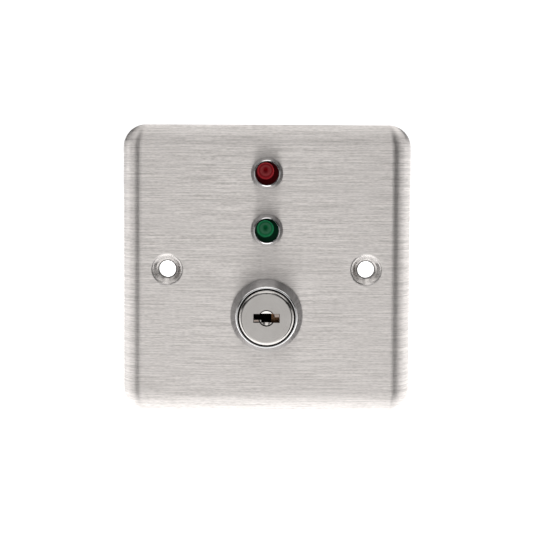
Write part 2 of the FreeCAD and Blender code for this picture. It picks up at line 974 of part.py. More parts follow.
def make_wafers(doc, d):
    """The sliding wafers, drawn at the shear line as a key holds them, with windows and spring tabs."""
    wafers = []
    for index in range(WAFERS):
        body = new_body(doc, f"wafer_{index + 1}", d.lock_z)
        half_width = d.wafer_width / 2
        end_x = root(d.wafer_rad * d.wafer_rad - half_width * half_width)
        tab_front, tab_back = 1.7, 0.9
        depth = wafer_depth(d, index)
        front, back = depth - d.wafer_thick / 2, depth + d.wafer_thick / 2
        corners = [
            (-end_x, -half_width),
            (end_x, -half_width, d.wafer_rad),
            (end_x, half_width),
            (tab_front, half_width),
            (tab_front, half_width + 1),
            (tab_back, half_width + 1),
            (tab_back, half_width),
            (-end_x, half_width, d.wafer_rad),
        ]
        prism(body, "wafer", turned_about(corners, wafer_side(index)), front, back)
        bearing = 1.5 + KEY_CUTS[index] * CUT_STEP
        far_side = d.key_width / 2 + 0.2
        window_half = d.key_height / 2 + 0.35
        window = box_corners(-bearing, far_side, -window_half, window_half)
        window = turned_about(window, wafer_side(index))
        prism(body, "window", window, front - 1, back + 1, cut=True)
        wafers.append(body)
    return wafers


def make_wafer_springs(doc, d):
    """One small compression spring beside each wafer, in the pocket of its slot."""
    coils = []
    spring_rad, wire_rad, turns = 0.38, 0.1, 7
    pocket_x, tab_x = 2.78, 0.88
    height = d.wafer_width.value / 2 + 0.05 + spring_rad + wire_rad + 0.02
    for index in range(WAFERS):
        side = wafer_side(index)
        depth = wafer_depth(d, index).value
        start = Vector(-pocket_x * side, depth, d.lock_z.value + height * side)
        towards = Rotation(Vector(0, 0, 1), Vector(side, 0, 0))
        length = pocket_x + tab_x
        place = Placement(start, towards)
        name = f"wafer_spring_coil_{index + 1}"
        coils.append(helix_spring(doc, name, spring_rad, wire_rad, length, turns, place))
    springs = doc.addObject("Part::Compound", "wafer_springs")
    springs.Label = "wafer_springs"
    springs.Links = coils
    return springs


def make_plug_clip(doc, d):
    """The open spring clip in the plug's groove, which keeps the plug in the barrel."""
    body = new_body(doc, "plug_clip", d.lock_z)
    front = d.plug_end + d.running_gap + 2.15
    back = front + 0.7
    inner, outer = d.journal_rad - 0.68, d.journal_rad + 1.6
    turned(body, "ring", [(inner, front), (outer, front), (outer, back), (inner, back)])
    half_mouth = 1.8
    corners = box_corners(-half_mouth, half_mouth, -(d.journal_rad + 3), -1)
    prism(body, "mouth", corners, front - 0.2, back + 0.2, cut=True)
    return body


# ---------------------------------------------------------------- the electrical switch


def polar(radius, degrees):
    angle = math.radians(degrees)
    return (radius * math.cos(angle), radius * math.sin(angle))


def make_switch_case(doc, d):
    """Moulded case that snaps over the barrel's tail, with detent dimples and a curved stop groove."""
    body = new_body(doc, "switch_case", d.lock_z)
    skirt_front = d.barrel_end - 3.8
    skirt_rad = d.barrel_rad + 0.1
    hook_rad = d.barrel_rad - 0.6
    hook_front, hook_back = d.barrel_end - 3.3, d.barrel_end - 2.5
    turned(
        body,
        "shell",
        [
            (skirt_rad, skirt_front),
            (d.case_rad - 0.4, skirt_front),
            (d.case_rad, skirt_front + 0.4),
            (d.case_rad, d.case_end),
            (d.case_bore, d.case_end),
            (d.case_bore, d.case_floor),
            (d.journal_rad + 0.3, d.case_floor),
            (d.journal_rad + 0.3, d.case_front),
            (skirt_rad, d.case_front),
            (skirt_rad, hook_back),
            (hook_rad, hook_back),
            (hook_rad, hook_front),
        ],
    )
    half_slit = 1.2
    slit = prism(
        body,
        "skirt_slit",
        box_corners(hook_rad - 1, d.case_rad + 1, -half_slit, half_slit),
        skirt_front - 1,
        d.case_front,
        cut=True,
    )
    around(body, slit, 8)
    # The ball drops into one dimple at each end of the key's turn.
    dimple_rad = d.ball_rad + 0.12
    sink = d.ball_travel + 0.12
    ball_places = [(0, d.ball_circle), (d.ball_circle, 0)]
    rods(body, "detent_dimples", ball_places, dimple_rad, d.case_floor - sink, d.case_floor, cut=True)
    # The rotor's stop pin runs in this groove, a quarter of a turn long.
    pin_angle = math.degrees(math.asin((SIZES["stop_rad"] + 0.06) / SIZES["stop_circle"]))
    inner, outer = d.stop_circle - d.stop_rad - 0.1, d.stop_circle + d.stop_rad + 0.1
    low, high = 270 - SIZES["turn_angle"] - pin_angle, 270 + pin_angle
    prism(
        body,
        "stop_groove",
        [
            (*polar(outer, low), outer),
            polar(outer, high),
            (*polar(inner, high), -inner),
            polar(inner, low),
        ],
        d.case_floor - 0.85,
        d.case_floor,
        cut=True,
    )
    screw_places = [polar(d.fixing_circle, 45), polar(d.fixing_circle, 225)]
    rods(body, "screw_holes", screw_places, 1.02, d.case_end - 6, d.case_end, cut=True)
    return body


def make_switch_rotor(doc, d):
    """The rotor that the tang turns: it carries the detent ball, the stop pin and the contact bridge."""
    body = new_body(doc, "switch_rotor", d.lock_z)
    front = d.case_floor + 0.2
    back = front + d.rotor_thick
    turned(
        body,
        "disc",
        [
            (0, front),
            (d.rotor_rad - 0.3, front),
            (d.rotor_rad, front + 0.3),
            (d.rotor_rad, back - 0.3),
            (d.rotor_rad - 0.3, back),
            (0, back),
        ],
    )
    half_socket = d.tang_side / 2 + 0.04
    prism(
        body,
        "tang_socket",
        box_corners(-half_socket, half_socket, -half_socket, half_socket),
        front,
        d.tang_end + 0.3,
        cut=True,
    )
    rods(body, "stop_pin", [(0, -d.stop_circle)], d.stop_rad, d.case_floor - 0.7, front)
    rods(body, "ball_pocket", [(0, d.ball_circle)], d.ball_rad + 0.06, front, front + 3.7, cut=True)
    cheek_low, cheek_high, cheek_reach = 1.8, 2.9, 3.2
    cheek = prism(
        body,
        "bridge_cheek",
        box_corners(-cheek_reach, cheek_reach, cheek_low, cheek_high),
        back,
        d.case_end - 1.05,
    )
    mirrored(body, cheek, "XY_Plane")
    rods(body, "spring_pocket", [(0, 0)], 1.75, back - 0.8, back, cut=True)
    return body


def make_detent(doc, d):
    """Steel ball, drawn pressed back as it is between two dimples, and the spring behind it."""
    rotor_front = d.case_floor.value + 0.2
    clear = 0.05
    centre_y, centre_z = d.case_floor + clear + d.ball_rad, d.lock_z + d.ball_circle
    centre = Vector(0, centre_y.value, centre_z.value)
    ball = doc.addObject("Part::Sphere", "detent_ball")
    ball.Label = "detent_ball"
    ball.Radius = d.ball_rad.value
    ball.setExpression("Radius", d.ball_rad.text)
    ball.Placement = Placement(centre, Rotation())
    ball.setExpression("Placement.Base.y", centre_y.text)
    ball.setExpression("Placement.Base.z", centre_z.text)
    start = centre.y + d.ball_rad.value - 0.12
    length = rotor_front + 3.7 - start
    place = Placement(Vector(0, start, centre.z), Rotation(Vector(0, 0, 1), Vector(0, 1, 0)))
    spring = helix_spring(doc, "detent_spring", 0.72, 0.12, length, 4, place)
    return [ball, spring]


def make_contact_bridge(doc, d):
    """The moving contact: a strip with rounded ends and a pip that centres its spring."""
    body = new_body(doc, "contact_bridge", d.lock_z)
    back = d.case_end - 0.85
    front = back - 0.5
    half_width = 1.7
    reach = d.contact_circle + 1
    corner = 0.8
    prism(body, "strip", rounded_box(reach, sized(half_width), sized(corner)), front, back)
    rods(body, "spring_pip", [(0, 0)], 0.95, front - 0.6, front)
    return body


def make_contact_spring(doc, d):
    """The spring that presses the bridge against the fixed contacts."""
    start = d.case_floor.value + 0.2 + d.rotor_thick.value - 0.8
    end = d.case_end.value - 1.35
    place = Placement(Vector(0, start, d.lock_z.value), Rotation(Vector(0, 0, 1), Vector(0, 1, 0)))
    return helix_spring(doc, "contact_spring", 1.3, 0.2, end - start, 3.5, place)


def make_terminal_base(doc, d):
    """Rear cover of the switch, which holds the four terminals and is screwed to the case."""
    body = new_body(doc, "terminal_base", d.lock_z)
    front, back = d.case_end, d.case_end + d.base_thick
    turned(
        body,
        "disc",
        [
            (0, front),
            (d.case_rad, front),
            (d.case_rad, back - 0.5),
            (d.case_rad - 0.5, back),
            (0, back),
        ],
    )
    half_tag, half_gauge = d.tag_width / 2 + 0.01, d.tag_gauge / 2 + 0.01
    slot = prism(
        body,
        "terminal_slot",
        box_corners(d.contact_circle - half_gauge, d.contact_circle + half_gauge, -half_tag, half_tag),
        front - 0.5,
        back + 0.5,
        cut=True,
    )
    around(body, slot, 4)
    screw_places = [polar(d.fixing_circle, 45), polar(d.fixing_circle, 225)]
    rods(body, "screw_holes", screw_places, 1.1, front - 0.5, back + 0.5, cut=True)
    # A low diagonal cross keeps the terminals apart.
    wall_half, wall_reach = 0.45, 4.3
    across = math.sqrt(0.5)
    wall = []
    for along, aside in ((-1, -1), (1, -1), (1, 1), (-1, 1)):
        u, v = along * wall_reach * across, aside * wall_half * across
        wall.append((u - v, u + v))
    mirrored(body, prism(body, "barrier", wall, back, back + 2.4))
    return body


def make_terminals(doc, d):
    """Four fixed contacts, each a button inside the switch and a solder tag outside it."""
    terminals = []
    names = ("terminal_top", "terminal_right", "terminal_bottom", "terminal_left")
    half_tag, half_gauge = d.tag_width / 2, d.tag_gauge / 2
    nose, eye_rad, eye_back = 0.7, 0.65, 2.2
    for index, label in enumerate(names):
        body = new_body(doc, label, d.lock_z)
        spin = Rotation(Vector(0, 1, 0), 90 * index)
        body.Placement = Placement(Vector(0, 0, d.lock_z.value), spin)
        bind(body, "Placement.Base.z", d.lock_z)
        button_front = d.case_end - 0.8
        rods(body, "button", [(0, d.contact_circle)], 1.3, button_front, d.case_end)
        sketch = new_sketch(body, "tag_outline", "XY_Plane")
        tag_plane = d.contact_circle - half_gauge
        sketch.AttachmentOffset = Placement(Vector(0, 0, tag_plane.value), Rotation())
        bind(sketch, "AttachmentOffset.Base.z", tag_plane)
        draw_outline(
            sketch,
            [
                (-half_tag, d.case_end),
                (half_tag, d.case_end),
                (half_tag, d.tag_end - nose),
                (half_tag - nose, d.tag_end),
                (-half_tag + nose, d.tag_end),
                (-half_tag, d.tag_end - nose),
            ],
        )
        draw_circle(sketch, 0, d.tag_end - eye_back, eye_rad)
        tag = body.newObject("PartDesign::Pad", "tag")
        tag.Profile = sketch
        tag.Length = d.tag_gauge.value
        bind(tag, "Length", d.tag_gauge)
        terminals.append(body)
    return terminals


def make_switch_screws(doc, d):
    """Two pan-head screws that hold the terminal base to the case, each with a cross recess."""
    screws = []
    base_back = d.case_end + d.base_thick
    for index, degrees in enumerate((45, 225)):
        x, z = polar(d.fixing_circle, degrees)
        body = new_body(doc, f"switch_screw_{index + 1}")
        body.Placement = Placement(Vector(x.value, 0, (d.lock_z + z).value), Rotation())
        bind(body, "Placement.Base.x", x)
        bind(body, "Placement.Base.z", d.lock_z + z)
        head_rad, head_thick, shank_rad = 1.6, 1.2, 1.0
        turned(
            body,
            "screw",
            [
                (0, d.case_end - 5.6),
                (0.3, d.case_end - 5.6),
                (shank_rad, d.case_end - 4.8),
                (shank_rad, base_back),
                (head_rad, base_back),
                (head_rad, base_back + 0.5, 1.1),
                (head_rad - 0.7, base_back + head_thick),
                (0, base_back + head_thick),
            ],
        )
        blade = 0.2
        recess_front = base_back + head_thick - 0.7
        for name, corners in (
            ("cross_one", box_corners(-1, 1, -blade, blade)),
            ("cross_two", box_corners(-blade, blade, -1, 1)),
        ):
            prism(body, name, corners, recess_front, base_back + head_thick + 0.5, cut=True)
        screws.append(body)
    pair = doc.addObject("Part::Compound", "switch_screws")
    pair.Label = "switch_screws"
    pair.Links = screws
    return pair


# ---------------------------------------------------------------- build and write


def check_document(doc, nodes):
    """Stops if any feature failed or any node is not a sound solid."""
    failed = [o.Name for o in doc.Objects if "Invalid" in o.State or "Error" in o.State]
    if failed:
        raise RuntimeError(f"these objects failed: {failed}")
    for node in nodes:
        shape = node.Shape
        if shape.isNull() or not shape.isValid() or not shape.Solids or shape.Volume <= 0:
            raise RuntimeError(f"{node.Label} has no valid solid")


def main():
    doc = FreeCAD.newDocument("selector_key_switch")
    d = make_sheet(doc)
    nodes = [make_face_plate(doc, d)]
    nodes += make_indicator(doc, d, "red", d.red_z)
    nodes += make_indicator(doc, d, "green", d.green_z)

    nodes.append(make_lock_barrel(doc, d))
    nodes.append(make_lock_plug(doc, d))
    nodes += make_wafers(doc, d)
    nodes.append(make_wafer_springs(doc, d))
    nodes.append(make_plug_clip(doc, d))
    sheet_back = d.sheet_gauge - d.plate_height
    washer_back = sheet_back + d.lock_washer_thick
    lock_washer = new_body(doc, "lock_washer", d.lock_z)
    washer_bore, washer_rad = d.barrel_rad + 0.1, d.barrel_rad + 2.9
    make_toothed_washer(lock_washer, washer_bore, washer_rad, sheet_back, washer_back, teeth=18)
    lock_nut = new_body(doc, "lock_nut", d.lock_z)
    nut_back = washer_back + d.lock_nut_thick
    make_hex_nut(lock_nut, d.lock_nut_flats, d.barrel_rad + 0.02, washer_back, nut_back)
    nodes += [lock_washer, lock_nut]

    nodes.append(make_switch_case(doc, d))
    nodes.append(make_switch_rotor(doc, d))
    nodes += make_detent(doc, d)
    nodes.append(make_contact_bridge(doc, d))
    nodes.append(make_contact_spring(doc, d))
    nodes.append(make_terminal_base(doc, d))
    nodes += make_terminals(doc, d)
    nodes.append(make_switch_screws(doc, d))

    doc.recompute()
    check_document(doc, nodes)
    os.makedirs(OUT_FOLDER, exist_ok=True)
    for node in nodes:
        shape = node.Shape
        shape.exportStep(os.path.join(OUT_FOLDER, f"{node.Label}.step"))
        box = shape.BoundBox
        reach = f"x {box.XMin:.2f}..{box.XMax:.2f} y {box.YMin:.2f}..{box.YMax:.2f}"
        reach += f" z {box.ZMin:.2f}..{box.ZMax:.2f}"
        print(f"{node.Label:28s} solids {len(shape.Solids)} volume {shape.Volume:9.2f} {reach}")


main()
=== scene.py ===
import json
import math

import bpy
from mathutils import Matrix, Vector


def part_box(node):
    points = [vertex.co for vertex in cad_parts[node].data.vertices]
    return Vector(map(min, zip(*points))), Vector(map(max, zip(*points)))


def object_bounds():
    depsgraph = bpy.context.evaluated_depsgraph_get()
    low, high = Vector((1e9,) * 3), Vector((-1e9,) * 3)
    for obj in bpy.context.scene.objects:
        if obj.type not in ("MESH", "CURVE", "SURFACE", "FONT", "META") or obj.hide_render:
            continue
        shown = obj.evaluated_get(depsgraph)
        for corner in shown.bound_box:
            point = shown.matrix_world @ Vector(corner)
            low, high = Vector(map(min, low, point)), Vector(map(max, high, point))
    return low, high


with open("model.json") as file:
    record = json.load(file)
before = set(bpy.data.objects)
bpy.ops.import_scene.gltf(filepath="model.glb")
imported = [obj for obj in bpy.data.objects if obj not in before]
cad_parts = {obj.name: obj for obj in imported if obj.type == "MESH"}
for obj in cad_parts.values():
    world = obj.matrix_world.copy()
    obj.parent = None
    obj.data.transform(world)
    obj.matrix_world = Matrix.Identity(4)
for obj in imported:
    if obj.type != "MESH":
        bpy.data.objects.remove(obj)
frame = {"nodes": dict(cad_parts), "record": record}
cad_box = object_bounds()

# ---------------------------------------------------------------- node helpers


class NodeTree:
    """Short calls for the nodes that the materials and the world share."""

    def __init__(self, tree):
        self.tree = tree
        self.tree.nodes.clear()

    def node(self, kind, **settings):
        node = self.tree.nodes.new(kind)
        for name, value in settings.items():
            setattr(node, name, value)
        return node

    def link(self, source, target):
        self.tree.links.new(source, target)

    def feed(self, value, socket):
        """Links an output to the socket, or sets a plain value on it."""
        if isinstance(value, bpy.types.NodeSocket):
            self.link(value, socket)
        else:
            socket.default_value = value

    def maths(self, operation, first, second=0.0, third=0.0):
        node = self.node("ShaderNodeMath", operation=operation)
        for socket, value in zip(node.inputs, (first, second, third)):
            self.feed(value, socket)
        return node.outputs["Value"]

    def times(self, first, second):
        return self.maths("MULTIPLY", first, second)

    def minus(self, first, second):
        return self.maths("SUBTRACT", first, second)

    def maximum(self, first, *others):
        for other in others:
            first = self.maths("MAXIMUM", first, other)
        return first

    def absolute(self, value):
        return self.maths("ABSOLUTE", value)

    def span(self, value, low, high, start=0.3, end=0.7):
        """Maps value from start..end to low..high, and holds it beyond them."""
        ramp = self.node("ShaderNodeMapRange")
        self.link(value, ramp.inputs["Value"])
        for name, number in (("From Min", start), ("From Max", end), ("To Min", low), ("To Max", high)):
            ramp.inputs[name].default_value = number
        return ramp.outputs["Result"]

    def rise(self, value, start, end):
        """0 up to start, 1 from end."""
        return self.span(value, 0.0, 1.0, start, end)

    def fall(self, value, start, end):
        """1 up to start, 0 from end."""
        return self.span(value, 1.0, 0.0, start, end)

    def blend(self, factor, first, second, mode="MIX"):
        node = self.node("ShaderNodeMix", data_type="RGBA", blend_type=mode)
        self.feed(factor, node.inputs["Factor"])
        self.feed(first, node.inputs["A"])
        self.feed(second, node.inputs["B"])
        return node.outputs["Result"]


class Shader(NodeTree):
    """A material with one Principled shader. Its places and radii are in millimetres."""

    def __init__(self, name):
        self.material = bpy.data.materials.new(name)
        self.material.use_nodes = True
        super().__init__(self.material.node_tree)
        output = self.node("ShaderNodeOutputMaterial")
        self.bsdf = self.node("ShaderNodeBsdfPrincipled")
        self.link(self.bsdf.outputs["BSDF"], output.inputs["Surface"])

    def put(self, name, value):
        """Feeds one of the shader's own sockets."""
        self.feed(value, self.bsdf.inputs[name])

    def place(self, scale=(1, 1, 1), offset=(0, 0, 0)):
        """Object coordinates, scaled."""
        coords = self.node("ShaderNodeTexCoord")
        mapping = self.node("ShaderNodeMapping")
        self.link(coords.outputs["Object"], mapping.inputs["Vector"])
        mapping.inputs["Scale"].default_value = tuple(1000 * s for s in scale)
        mapping.inputs["Location"].default_value = offset
        return mapping.outputs["Vector"]

    def axes(self, centre_x=0.0, centre_z=0.0):
        """X, Y and Z, with X and Z measured from a line along Y."""
        parts = self.node("ShaderNodeSeparateXYZ")
        self.link(self.place(), parts.inputs["Vector"])
        x = self.minus(parts.outputs["X"], centre_x)
        z = self.minus(parts.outputs["Z"], centre_z)
        return x, parts.outputs["Y"], z

    def radius(self, x, z):
        return self.maths("SQRT", self.maths("MULTIPLY_ADD", x, x, self.times(z, z)))

    def ring(self, radius, start, full, hold, end):
        """A ring that is full from full to hold, and fades to nothing at start and end."""
        return self.times(self.rise(radius, start, full), self.fall(radius, hold, end))

    def noise(self, vector, scale=1.0, detail=4.0, rough=0.6):
        noise = self.node("ShaderNodeTexNoise")
        self.link(vector, noise.inputs["Vector"])
        noise.inputs["Scale"].default_value = scale
        noise.inputs["Detail"].default_value = detail
        noise.inputs["Roughness"].default_value = rough
        return noise.outputs["Fac"]

    def grain(self, scale, detail=3.0, rough=0.6):
        """Noise of the same scale along all three axes."""
        return self.noise(self.place((scale, scale, scale)), detail=detail, rough=rough)

    def bump(self, height, strength, distance):
        node = self.node("ShaderNodeBump")
        self.link(height, node.inputs["Height"])
        node.inputs["Strength"].default_value = strength
        node.inputs["Distance"].default_value = distance
        self.link(node.outputs["Normal"], self.bsdf.inputs["Normal"])


def rgb(red, green, blue):
    return (red, green, blue, 1.0)


def scaled(color, factor):
    return rgb(*(factor * c for c in color))


# ---------------------------------------------------------------- places, in millimetres


def front_of(node):
    return 1000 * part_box(node)[0].y


def height_of(node):
    return 500 * sum(corner.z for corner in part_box(node))


BEZEL_FRONT = front_of("red_indicator_housing")
LENS_FRONT = front_of("red_lens")
BARREL_FRONT = front_of("lock_barrel")
PLUG_FRONT = front_of("lock_plug")
PLATE_FRONT = front_of("face_plate")
RED_Z = height_of("red_indicator_housing")
GREEN_Z = height_of("green_indicator_housing")
LOCK_Z = height_of("lock_barrel")
SCREW_X = 30.15
SCREW_HOLE_RAD, DIMPLE_RAD = 2.5, 5.0
BORE_EDGE_RAD = 8.68
HEAD_RAD = 8.25
RECESS_RAD, DISH_RAD = 2.45, 2.15

# Where the keyway's walls begin to be painted dark as painted shade, and how far out its shelves reach.
WALL_X, WALL_Z = 3.68, 1.05
SHELF_RAD = 4.2

# The middle of each lens's painted highlight rings, from the middle of its opening, and its dark eye above
# that.
DOME_LEFT, DOME_UP, EYE_UP = -0.40, 0.82, 0.35

# The plate is painted darker above each of these heights, out to the reach beside it: painted shade for the
# bezels' smeared reflections.
PAINTED_SHADE_ABOVE = [(RED_Z, 4.9), (GREEN_Z, 4.9), (LOCK_Z, 10.9)]

# ---------------------------------------------------------------- materials

BLACK = rgb(0.0, 0.0, 0.0)
CHROME = (0.78, 0.78, 0.785)
# Grease and painted shade: the near-black of the plug's keyway, groove and side.
GREASE_AND_SHADE = rgb(0.008, 0.007, 0.007)


def painted_shade_patch(s, x, z, centre, reach):
    """Painted shade: how much darker the plate is painted just above a bezel."""
    above = s.minus(z, centre)
    patch = s.times(s.span(above, 0.16, 0.0, reach, 1.9 * reach), s.rise(above, 0.0, 0.5))
    return s.times(patch, s.fall(s.absolute(x), 0.55 * reach, 0.95 * reach))


def brushed_plate():
    """Stainless steel brushed from side to side in fine streaks of many lengths, glossier in the dimples."""
    s = Shader("brushed_stainless")
    x, _, z = s.axes()
    hole = s.radius(s.minus(s.absolute(x), SCREW_X), z)
    dimple = s.fall(hole, DIMPLE_RAD - 0.3, DIMPLE_RAD + 0.1)

    long_streaks = s.noise(s.place((0.035, 0, 2.4), (3, 0, 7)), detail=1.0)
    middle_streaks = s.noise(s.place((0.13, 0, 3.2), (5, 0, 2)), detail=1.0)
    nicks = s.noise(s.place((0.65, 0, 3.9), (9, 0, 1)), detail=1.5)
    bands = s.noise(s.place((0.02, 0.02, 0.35), (1, 0, 4)), detail=2.0)
    streak = s.maths("MULTIPLY_ADD", middle_streaks, 0.33, s.times(long_streaks, 0.32))
    streak = s.maths("MULTIPLY_ADD", nicks, 0.35, streak)

    tint = s.blend(s.rise(streak, 0.392, 0.608), rgb(0.485, 0.460, 0.445), rgb(0.865, 0.829, 0.810))
    tint = s.blend(s.span(bands, 0.0, 0.35), tint, rgb(0.68, 0.652, 0.637))
    tint = s.blend(s.times(dimple, 0.9), tint, rgb(0.66, 0.633, 0.618))
    # Painted shade above each bezel and the lock, darkening the plate's tint.
    for centre, reach in PAINTED_SHADE_ABOVE:
        tint = s.blend(painted_shade_patch(s, x, z, centre, reach), tint, BLACK)
    # The punched edge of each screw hole is painted dark: painted shade for the hole's wall in shadow.
    edge = s.span(hole, 0.8, 0.0, SCREW_HOLE_RAD + 0.20, SCREW_HOLE_RAD + 0.48)
    tint = s.blend(edge, tint, rgb(0.05, 0.048, 0.045))
    s.put("Base Color", tint)

    s.put("Roughness", s.maths("MULTIPLY_ADD", dimple, -0.11, s.span(streak, 0.33, 0.43)))
    s.put("Metallic", 1.0)
    s.put("Anisotropic", 1.0)
    upright = s.node("ShaderNodeCombineXYZ")
    upright.inputs["Z"].default_value = 1.0
    s.put("Tangent", upright.outputs["Vector"])
    s.bump(s.times(streak, s.span(dimple, 1.0, 0.15, 0.0, 1.0)), 0.5, 0.00004)
    return s.material


def plated(name, color, rough, grain=0.02, shading=None):
    """Plated metal, a little uneven in tone and gloss. shading(shader, tint) may darken parts of it."""
    s = Shader(name)
    cloud = s.grain(0.12)
    speck = s.grain(2.2, rough=0.7)
    tint = s.blend(s.span(cloud, 0.0, 1.0), rgb(*color), scaled(color, 0.93))
    if shading:
        tint = shading(s, tint)
    s.put("Base Color", tint)
    s.put("Roughness", s.span(speck, rough - 0.02, rough + 0.02))
    s.put("Metallic", 1.0)
    s.bump(speck, grain, 0.00002)
    return s.material


def bevel_shade(front):
    """Painted shade on a chromed bevel: a bright rim, its turned side painted darker, and painted darkest
    where it meets the plate.
    """

    def shading(s, tint):
        _, y, _ = s.axes()
        # Painted shade: the side is painted a little darker than the rim.
        side = s.rise(y, front + 0.15, front + 0.6)
        tint = s.blend(side, tint, rgb(0.9, 0.9, 0.909), mode="MULTIPLY")
        # Painted shade where the bevel meets the plate.
        joint_shade = s.span(y, 0.0, 0.75, PLATE_FRONT - 0.75, PLATE_FRONT - 0.05)
        return s.blend(joint_shade, tint, rgb(0.10, 0.10, 0.10))

    return shading


def barrel_shading(s, tint):
    """The lock's bevel, its rim painted darker on the lower part as painted shade, and its bore painted
    near-black, as painted shade in the gap round the plug and dark with grease.
    """
    tint = bevel_shade(BARREL_FRONT)(s, tint)
    x, y, z = s.axes(0, LOCK_Z)
    # Painted shade: the lower part of the rim is painted darker.
    low_rim_shade = s.times(s.fall(z, -8.6, -4.0), s.fall(y, BARREL_FRONT + 0.2, BARREL_FRONT + 0.5))
    tint = s.blend(s.times(low_rim_shade, 0.38), tint, BLACK)
    # Painted shade: the bore, in the gap round the plug, is painted near-black, and is also dark with
    # grease.
    inside = s.fall(s.radius(x, z), BORE_EDGE_RAD - 0.02, BORE_EDGE_RAD + 0.03)
    bore = s.times(inside, s.rise(y, BARREL_FRONT + 0.05, BARREL_FRONT + 0.2))
    return s.blend(bore, tint, rgb(0.012, 0.011, 0.011))


def spun_nickel():
    """The plug: satin nickel with faint turning rings, a bright edge, and a keyway and side painted dark
    with grease and painted shade.
    """
    s = Shader("satin_nickel")
    x, y, z = s.axes(0, LOCK_Z)
    radius = s.radius(x, z)
    along = s.node("ShaderNodeCombineXYZ")
    s.link(radius, along.inputs["X"])
    rings = s.noise(along.outputs["Vector"], scale=9.0, detail=3.0)
    mixed = s.maths("MULTIPLY_ADD", rings, 0.4, s.times(s.grain(0.2), 0.6))
    tint = s.blend(s.span(mixed, 0.0, 1.0), rgb(0.50, 0.482, 0.467), rgb(0.57, 0.552, 0.537))
    speck = s.grain(3.0, detail=2.0)
    tint = s.blend(s.span(speck, 0.0, 0.25, 0.5, 0.75), tint, rgb(0.40, 0.384, 0.37))

    # The keyway's shelves are browned.
    sunk = s.rise(y, PLUG_FRONT + 0.15, PLUG_FRONT + 0.4)
    shelf = s.times(sunk, s.ring(radius, RECESS_RAD + 0.01, RECESS_RAD + 0.05, SHELF_RAD, SHELF_RAD + 0.1))
    tint = s.blend(shelf, tint, rgb(0.46, 0.385, 0.345))

    # Its walls, its depth, the groove round the recess and the plug's side are painted dark: grease, and
    # painted shade in these recesses and gaps.
    wall_shade = s.maximum(s.minus(s.absolute(x), WALL_X), 0.0, s.minus(s.absolute(z), WALL_Z))
    wall_shade = s.times(shelf, s.span(wall_shade, 0.0, 0.9, 0.0, 0.12))
    deep = s.rise(y, PLUG_FRONT + 0.9, PLUG_FRONT + 1.3)
    groove_shade = s.ring(radius, DISH_RAD - 0.07, DISH_RAD + 0.01, RECESS_RAD + 0.01, RECESS_RAD + 0.05)
    groove_shade = s.times(groove_shade, s.rise(y, PLUG_FRONT + 0.1, PLUG_FRONT + 0.3))
    side = s.rise(radius, HEAD_RAD - 0.09, HEAD_RAD - 0.01)
    s.put("Base Color", s.blend(s.maximum(deep, groove_shade, side, wall_shade), tint, GREASE_AND_SHADE))

    # The dished recess and the edge of the face are polished.
    dish = s.times(s.fall(radius, DISH_RAD - 0.02, DISH_RAD + 0.04), sunk)
    polished = s.maximum(dish, s.rise(radius, HEAD_RAD - 1.15, HEAD_RAD - 1.0))
    s.put("Roughness", s.maths("MULTIPLY_ADD", polished, -0.17, s.span(rings, 0.26, 0.34)))
    s.put("Metallic", 1.0)
    s.bump(rings, 0.12, 0.00002)
    return s.material


def wafer_brass():
    """Stamped brass, browned with old grease, and painted near-black past the first wafer as painted shade
    deep in the keyway.
    """
    s = Shader("wafer_brass")
    _, y, _ = s.axes()
    patch = s.grain(1.6, rough=0.7)
    tint = s.blend(s.rise(patch, 0.35, 0.65), rgb(0.13, 0.055, 0.025), rgb(0.42, 0.24, 0.13))
    # Painted shade: the brass is painted near-black deeper in the keyway.
    depth_shade = s.rise(y, PLUG_FRONT + 4.3, PLUG_FRONT + 6.1)
    s.put("Base Color", s.blend(depth_shade, tint, rgb(0.01, 0.007, 0.005)))
    s.put("Roughness", s.span(patch, 0.28, 0.45))
    s.put("Metallic", 0.85)
    s.bump(patch, 0.2, 0.00003)
    return s.material


def lens_plastic(node, eye, dome, broad_ring_highlight, rim, deep):
    """Moulded lens: a dome with a dark eye, a broad pale ring and a thin one as painted highlights, in a
    very dark well of painted shade.
    """
    s = Shader(node)
    x, y, z = s.axes(DOME_LEFT, height_of(node) + DOME_UP)
    radius = s.radius(x, z)
    cloud = s.grain(0.9, detail=2.0)
    tint = s.blend(s.span(cloud, 0.0, 0.5), rgb(*dome), scaled(dome, 0.8))
    # Painted highlights: the broad pale ring and the thin rim ring stand in for light caught by the moulded
    # rings.
    tint = s.blend(s.ring(radius, 0.4, 1.4, 1.5, 1.85), tint, rgb(*broad_ring_highlight))
    tint = s.blend(s.ring(radius, 1.95, 2.2, 2.3, 2.55), tint, rgb(*rim))
    pupil = s.radius(x, s.minus(z, EYE_UP))
    tint = s.blend(s.fall(pupil, 0.4, 0.75), tint, rgb(*eye))
    # Painted shade: the dome's outer edge and the well past the lens front are painted deep and dark.
    tint = s.blend(s.span(radius, 0.0, 0.8, 2.45, 2.75), tint, rgb(*deep))
    well = s.rise(y, LENS_FRONT + 0.3, LENS_FRONT + 0.9)
    s.put("Base Color", s.blend(well, tint, rgb(*deep)))
    s.put("Roughness", s.span(cloud, 0.14, 0.22))
    s.put("Specular IOR Level", 0.02)
    s.bump(cloud, 0.05, 0.00002)
    return s.material


def epoxy(name, color, deep):
    """The LED's tinted epoxy, clear enough for light to pass a little way in."""
    s = Shader(name)
    cloud = s.grain(0.5, detail=2.0)
    s.put("Base Color", s.blend(s.span(cloud, 0.0, 1.0), rgb(*color), rgb(*deep)))
    s.put("Roughness", s.span(cloud, 0.12, 0.2))
    s.put("Transmission Weight", 0.4)
    s.put("IOR", 1.5)
    s.bump(cloud, 0.05, 0.00002)
    return s.material


